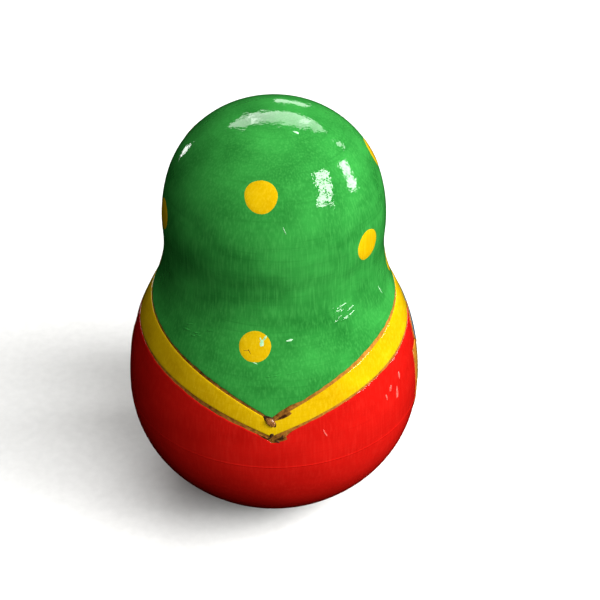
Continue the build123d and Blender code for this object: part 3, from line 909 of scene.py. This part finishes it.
coat("apron_leaves", leaves, SCARF_GREEN)

# The sleeves are blue-grey. Each comes out from under the scarf's hem, bends at the elbow and
# ends in a yellow cuff, and the hands meet at the waist round a small bunch of flowers.

SLEEVE_OUTSIDE = [
    (78.0, 61.5),
    (92.0, 57.0),
    (97.0, 48.0),
    (72.0, 45.5),
    (44.0, 44.5),
    (15.5, 46.0),
]
SLEEVE_INSIDE = [(50.0, 66.5), (70.0, 60.0), (70.0, 53.5), (48.0, 53.5), (15.5, 54.0)]


def sleeve(side):
    """Grid between the outer and inner edges, whose first row lies along the hem's edge.

    The edges are Bezier curves of turn from the front and height. The row's distance from
    the hem is carried along and fades out as (1 - t) ** 4.
    """
    outside, inside = bezier(SLEEVE_OUTSIDE, 97), bezier(SLEEVE_INSIDE, 97)
    across = np.linspace(0.0, 1.0, 25)[:, None]
    away = outside[0] + (inside[0] - outside[0]) * across
    arc = arc_at(outside[1]) + (arc_at(inside[1]) - arc_at(outside[1])) * across
    turn = FRONT + side * away
    start = turn[:, 0]
    gap = np.interp((start + 180.0) % 360.0 - 180.0, TURNS, hem_low) - arc[:, 0]
    arc = arc + gap[:, None] * (1.0 - np.linspace(0.0, 1.0, 97)) ** 4
    rim = 1.0 - np.abs(2.0 * across - 1.0)
    return turn, arc, round_off(rim, COAT, 0.42, 0.15) + 0 * arc


CUFF = (1.5, 4.7)  # half-width and half-height in mm
PALM = (4.0, 3.2)
sleeves, sleeve_lines, cuffs, hands, finger_lines = [], [], [], [], []
for side in (-1, 1):
    turn, arc, lift = sleeve(side)
    outwards = slice(None, None, -side)  # the grid's faces point out of the wood on both sides
    sleeves.append((turn[outwards], arc[outwards], lift[outwards]))
    for edge in (0, -1):
        sleeve_lines.append(stroke(turn[edge], arc[edge], 0.45, 0.46, 0.26, shade=0.25))
    cuff = FRONT + side * 15.5, arc_at(49.6)
    cuffs.append(spot(*cuff, *CUFF, tilt=side * 6, top=0.48, sunk=0.3))
    sleeve_lines.append(burned_ring(*cuff, *CUFF, 0.3, 0.5, 0.28, side * 6))
    palm = FRONT + side * 8.6, arc_at(50.0)
    hands.append(spot(*palm, *PALM, tilt=side * -8, top=0.5, sunk=0.3))
    sleeve_lines.append(burned_ring(*palm, *PALM, 0.3, 0.5, 0.28, side * -8))
    for finger in (-1.1, 0.0, 1.1):
        line = bezier([(-side * 0.2, finger), (-side * 3.3, finger * 1.1)], 13)
        finger_lines.append(stroke(*beside(*palm, *line), 0.14, 0.54))
coat("sleeves", sleeves, BLUE_GREY)
coat("cuffs", cuffs, HEM_YELLOW)
coat("hands", hands, FLESH)
coat("fingers", finger_lines, INK)
coat("burned_lines_round_sleeves", sleeve_lines, SCORCH)

# The bunch is three flowers, one white and two blue-grey, painted over the dress after the
# hands, so that the stems run down between them.

BUNCH = [(0.0, 61.0, 3.2, "white"), (-5.2, 58.0, 2.3, "blue"), (5.2, 58.0, 2.3, "blue")]
bunch_petals, bunch_hearts, bunch_stems = {"white": [], "blue": []}, [], []
angles = 30.0 + 60.0 * np.arange(6)
for right, height, size, colour in BUNCH:
    middle = beside(FRONT, arc_at(height), right, 0.0)
    bunch_petals[colour] += petals_round(*middle, size, angles, 0.5, 0.32, top=0.5, sunk=0.2)
    bunch_hearts.append(spot(*middle, 0.28 * size, 0.28 * size, top=0.56, sunk=0.4))
    ends = (0.0, arc_at(50.5)), (0.4 * right, arc_at(54.0)), (right, arc_at(height - 1.0))
    stem_right, stem_arc = bezier(ends, 25)
    bunch_stems.append(stroke(*beside(FRONT, stem_arc, stem_right, 0.0), 0.3, 0.46))
for colour, material in (("white", WHITE), ("blue", BLUE_GREY)):
    coat(f"bunch_petals_{colour}", bunch_petals[colour], material)
coat("bunch_hearts", bunch_hearts, HEM_YELLOW)
coat("bunch_stems", bunch_stems, SCARF_GREEN)

# The doll stands on a pale matt board in a plain studio, seen from behind and above. It is lit
# by one soft key and two weak fills, and mirrors two paned windows and patches of sky.

CAMERA_HEIGHT = 0.0641  # what the camera looks at, on the doll's axis
CAMERA_DISTANCE = 0.51775
CAMERA_AZIMUTH = 180.0
CAMERA_ELEVATION = 34.28


def towards(azimuth, elevation, distance):
    """A place seen from the axis at CAMERA_HEIGHT: azimuth 180 is behind the doll, on +Y."""
    a, e = np.radians([azimuth, elevation])
    way = np.array([np.sin(a) * np.cos(e), -np.cos(a) * np.cos(e), np.sin(e)])
    return distance * way + np.array([0.0, 0.0, CAMERA_HEIGHT])


def aim(thing, place, roll=0.0):
    """Puts a camera or light at a place, looking at the axis at CAMERA_HEIGHT."""
    way = Vector((0.0, 0.0, CAMERA_HEIGHT)) - Vector(place)
    thing.location = place
    turned = way.to_track_quat("-Z", "Y") @ Quaternion((0.0, 0.0, 1.0), np.radians(roll))
    thing.rotation_euler = turned.to_euler()
    bpy.context.scene.collection.objects.link(thing)


camera = bpy.data.objects.new("camera", bpy.data.cameras.new("camera"))
camera.data.lens = 108.0
camera.data.sensor_width = 36.0
camera.data.shift_x = 0.0435
camera.data.clip_start = 0.01
camera.data.clip_end = 20.0
aim(camera, towards(CAMERA_AZIMUTH, CAMERA_ELEVATION, CAMERA_DISTANCE))
bpy.context.scene.camera = camera

# What the lacquer mirrors. Each is a window of panes, in columns and rows, between bars.
WINDOWS = [  # name, azimuth, elevation, width and height in m, roll, panes, and power in W
    ("window_left", 246.0, 34.0, 0.27, 0.54, -28.0, (2, 3), 10.0),
    ("window_right", 281.0, 22.0, 0.18, 0.38, -28.0, (1, 2), 4.5),
    ("blue_gap", 308.0, 30.0, 0.10, 0.12, 0.0, (1, 1), 0.3),
    ("sky_behind", -4.0, 45.0, 0.60, 0.34, 0.0, (1, 1), 4.2),
    ("sky_behind_edge", 23.0, 43.0, 0.24, 0.26, 12.0, (1, 1), 1.2),
    ("sky_behind_tip", -30.0, 41.0, 0.24, 0.20, -8.0, (1, 1), 0.9),
    ("sky_gap_behind", -6.0, 14.0, 0.20, 0.16, 0.0, (1, 1), 0.3),
    ("low_gap_behind", 39.0, 1.0, 0.08, 0.12, 0.0, (1, 1), 0.22),
]
BAR = 0.2  # share of a pane


def window(name, azimuth, elevation, width, height, roll, panes, power):
    """Area lights, one to a pane, all 1 m from the axis, square to it and rolled together."""
    columns, rows = panes
    pane_width = width / (columns + BAR * (columns - 1))
    pane_height = height / (rows + BAR * (rows - 1))
    lean = np.radians(roll)
    for column in range(columns):
        for row in range(rows):
            light = bpy.data.lights.new(f"{name}_{column}_{row}", "AREA")
            light.shape = "RECTANGLE"
            light.size, light.size_y = pane_width, pane_height
            light.energy = power / (columns * rows)
            x = (column - (columns - 1) / 2) * pane_width * (1 + BAR)
            y = (row - (rows - 1) / 2) * pane_height * (1 + BAR)
            right = np.degrees(x * np.cos(lean) - y * np.sin(lean))
            right /= np.cos(np.radians(elevation))
            rise = np.degrees(x * np.sin(lean) + y * np.cos(lean))
            place = towards(azimuth + right, elevation + rise, 1.0)
            aim(bpy.data.objects.new(light.name, light), place, roll)


for values in WINDOWS:
    window(*values)

# Soft lights that leave no highlight. The key is a sun, so it lights the whole floor alike.
SOFT_LIGHTS = [  # name, kind, azimuth, elevation, and strength in W/m2 for the sun, or in W
    ("key", "SUN", 219.0, 38.0, 4.6),
    ("fill_left", "AREA", 105.0, 14.0, 2.8),
    ("fill_front", "AREA", 335.0, 8.0, 1.4),
]
for name, kind, azimuth, elevation, strength in SOFT_LIGHTS:
    light = bpy.data.lights.new(name, kind)
    light.energy = strength
    if kind == "SUN":
        light.angle = np.radians(50.0)
    else:
        light.size = 1.2
    lamp = bpy.data.objects.new(name, light)
    lamp.visible_glossy = False
    aim(lamp, towards(azimuth, elevation, 1.0))

world = bpy.data.worlds.new("studio")
bpy.context.scene.world = world
world.use_nodes = True
backdrop = world.node_tree.nodes["Background"]
backdrop.inputs["Color"].default_value = linear("#F4F6F8")
backdrop.inputs["Strength"].default_value = 0.85
world.cycles_visibility.diffuse = False  # the backdrop is seen but gives no light
world.cycles_visibility.glossy = False
bpy.context.scene.view_settings.view_transform = "Standard"

FLOOR_HALF = 3.0  # m
floor_mesh = bpy.data.meshes.new("floor")
corners = [(x * FLOOR_HALF, y * FLOOR_HALF, 0.0) for x, y in ((-1, -1), (1, -1), (1, 1), (-1, 1))]
floor_mesh.from_pydata(corners, [], [(0, 1, 2, 3)])
floor = bpy.data.objects.new("floor", floor_mesh)
floor.visible_glossy = False  # it takes the doll's shadow but sheds no light on it
floor.visible_diffuse = False
bpy.context.scene.collection.objects.link(floor)
material, tree, place = new_material("pale_matt_board")
small = add(tree, "Mapping", {"Vector": place, "Scale": per_mm(3.0, 3.0, 3.0)})
flecks = add(tree, "TexNoise", {"Vector": small, "Scale": 1.0, "Detail": 3.0})
clear = add(tree, "MapRange", {"Value": flecks, "From Min": 0.3, "From Max": 0.7})
card = add(tree, "Mix", {"Factor": clear, "A": "#D8D8D6", "B": "#DEDEDC"}, data_type="RGBA")
shader = add(tree, "BsdfPrincipled", {"Base Color": card, "Roughness": 0.9})
add(tree, "OutputMaterial", {"Surface": shader})
floor_mesh.materials.append(material)
